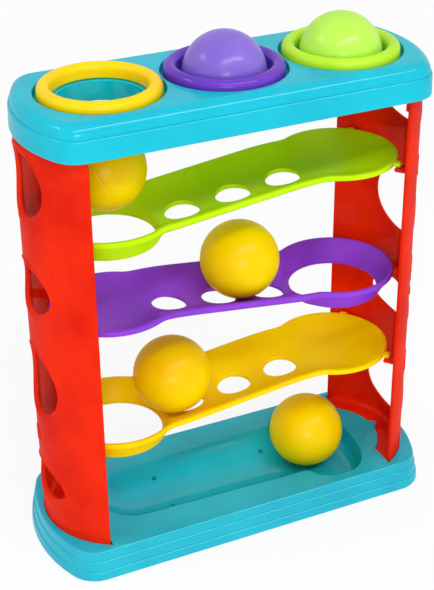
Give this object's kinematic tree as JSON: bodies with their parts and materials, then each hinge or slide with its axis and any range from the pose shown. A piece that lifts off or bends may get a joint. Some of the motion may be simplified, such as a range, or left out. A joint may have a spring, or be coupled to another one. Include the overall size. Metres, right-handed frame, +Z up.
{
  "type": "ball pounding tower",
  "caption": "Moulded pounding tower: balls knocked through coloured rings drop, roll down zigzag ramps between pierced side panels and stop in a tray.",
  "frame": {"origin": "centre of the base's footprint, on the surface that it stands on", "axes": "+X along the length towards the green ring, +Z up, front towards -Y"},
  "size_m": [0.2584, 0.1016, 0.3126],
  "materials": {
    "turquoise_top": "glossy moulded ABS",
    "turquoise_base": "glossy moulded ABS",
    "red": "glossy moulded ABS",
    "yellow": "glossy moulded ABS",
    "purple": "glossy moulded ABS",
    "green": "glossy moulded ABS",
    "ball_yellow": "satin blow-moulded polyethylene",
    "ball_purple": "satin blow-moulded polyethylene",
    "ball_green": "satin blow-moulded polyethylene",
    "steel": "zinc-plated steel"
  },
  "bodies": {
    "frame": {"base": "turquoise_base", "side_panel_left": "red", "side_panel_right": "red", "ramp_yellow": "yellow", "ramp_purple": "purple", "ramp_green": "green", "top_housing": "turquoise_top", "ring_yellow": "yellow", "ring_purple": "purple", "ring_green": "green", "base_screw_left_front": "steel", "base_screw_left_back": "steel", "base_screw_right_front": "steel", "base_screw_right_back": "steel"},
    "ball_purple": {"ball_purple": "ball_purple"},
    "ball_green": {"ball_green": "ball_green"},
    "ball_yellow_falling": {"ball_yellow_falling": "ball_yellow"},
    "ball_yellow_purple_ramp": {"ball_yellow_purple_ramp": "ball_yellow"},
    "ball_yellow_yellow_ramp": {"ball_yellow_yellow_ramp": "ball_yellow"},
    "ball_yellow_tray": {"ball_yellow_tray": "ball_yellow"}
  },
  "joints": [
    {"name": "purple_ball_pounded", "type": "slide", "parent": "frame", "child": "ball_purple", "axis": [0, 0, 1], "range_m": [-0.0518, 0.035]},
    {"name": "green_ball_pounded", "type": "slide", "parent": "frame", "child": "ball_green", "axis": [0, 0, 1], "range_m": [-0.0428, 0.035]},
    {"name": "yellow_ball_falls", "type": "slide", "parent": "frame", "child": "ball_yellow_falling", "axis": [0, 0, 1], "range_m": [-0.065, 0.0442]},
    {"name": "ball_rolls_purple_ramp", "type": "slide", "parent": "frame", "child": "ball_yellow_purple_ramp", "axis": [-0.9929, 0, 0.1191], "range_m": [-0.0645, 0.083]},
    {"name": "ball_rolls_yellow_ramp", "type": "slide", "parent": "frame", "child": "ball_yellow_yellow_ramp", "axis": [0.9929, 0, 0.1191], "range_m": [-0.037, 0.11]},
    {"name": "ball_rolls_tray", "type": "slide", "parent": "frame", "child": "ball_yellow_tray", "axis": [-0.9995, 0, 0.031], "range_m": [-0.008, 0.12]}
  ]
}
